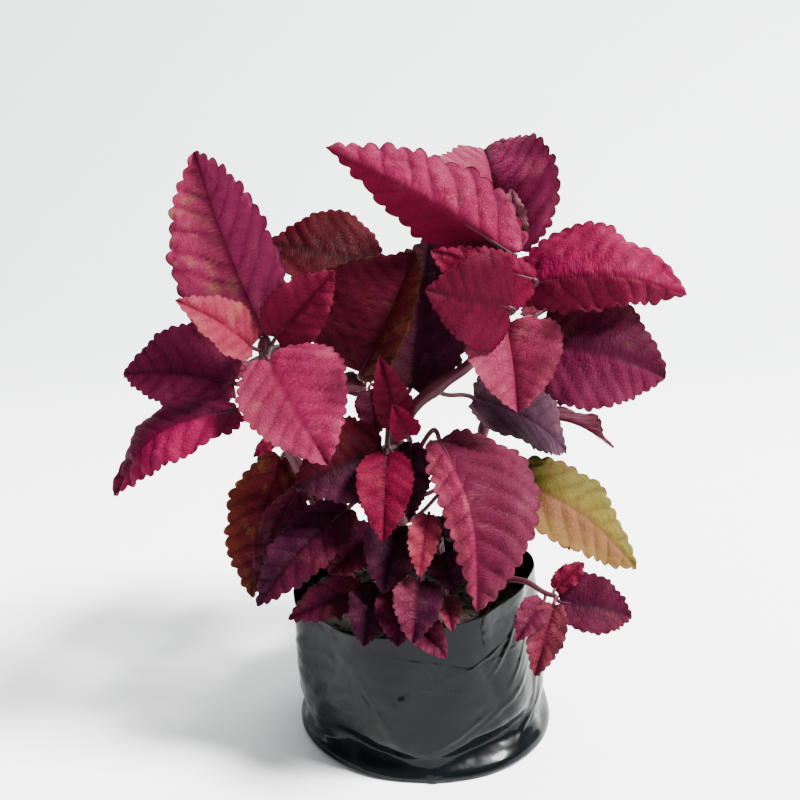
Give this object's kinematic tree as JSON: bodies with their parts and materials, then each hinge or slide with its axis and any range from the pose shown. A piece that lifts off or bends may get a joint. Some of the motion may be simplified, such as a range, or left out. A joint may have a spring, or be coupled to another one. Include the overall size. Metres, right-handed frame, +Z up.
{
  "type": "potted coleus",
  "caption": "Bushy coleus with broad toothed magenta and maroon leaves on forked stems, rooted in soil in a soft black film nursery bag that stands on its flat base.",
  "frame": {"origin": "centre of the underside of the bag's flat base", "axes": "+Z up along the plant, -Y towards the side seen in the picture, +X to the right in the picture"},
  "size_m": [0.2624, 0.1975, 0.2825],
  "materials": {
    "leaf_magenta": "satin",
    "leaf_crimson": "satin",
    "leaf_maroon": "satin",
    "leaf_mauve": "satin",
    "leaf_olive": "satin",
    "stem": "satin",
    "soil": "matte",
    "film": "satin"
  },
  "bodies": {
    "root": {"bag": "film", "leaf_back_far_left": "leaf_maroon", "leaf_back_far_right": "leaf_crimson", "leaf_back_high": "leaf_magenta", "leaf_back_left": "leaf_crimson", "leaf_back_low": "leaf_maroon", "leaf_back_lowest": "leaf_maroon", "leaf_back_middle": "leaf_crimson", "leaf_back_right": "leaf_maroon", "leaf_back_side": "leaf_crimson", "leaf_centre_back": "leaf_mauve", "leaf_centre_behind": "leaf_maroon", "leaf_centre_dark": "leaf_maroon", "leaf_centre_inner": "leaf_crimson", "leaf_centre_left": "leaf_maroon", "leaf_centre_low": "leaf_crimson", "leaf_centre_upper": "leaf_maroon", "leaf_front_large": "leaf_magenta", "leaf_left_back": "leaf_maroon", "leaf_left_behind": "leaf_crimson", "leaf_left_crown": "leaf_magenta", "leaf_left_front": "leaf_magenta", "leaf_left_inner": "leaf_crimson", "leaf_left_pale": "leaf_magenta", "leaf_left_side_lower": "leaf_crimson", "leaf_left_side_upper": "leaf_crimson", "leaf_low_left_back": "leaf_maroon", "leaf_low_left_front": "leaf_crimson", "leaf_low_left_mid": "leaf_crimson", "leaf_right_crown_back": "leaf_magenta", "leaf_right_crown_front": "leaf_crimson", "leaf_right_crown_left": "leaf_magenta", "leaf_right_crown_right": "leaf_magenta", "leaf_right_crown_under": "leaf_crimson", "leaf_right_hanging": "leaf_magenta", "leaf_right_mauve": "leaf_mauve", "leaf_right_olive": "leaf_olive", "leaf_right_side": "leaf_magenta", "leaf_right_under": "leaf_crimson", "shoot_back_left": "leaf_maroon", "shoot_back_right": "leaf_maroon", "shoot_front": "leaf_mauve", "shoot_front_left": "leaf_maroon", "shoot_front_right": "leaf_maroon", "shoot_trailing": "leaf_magenta", "soil": "soil", "stem_back": "stem", "stem_back_right": "stem", "stem_left": "stem", "stem_main": "stem"}
  },
  "joints": []
}
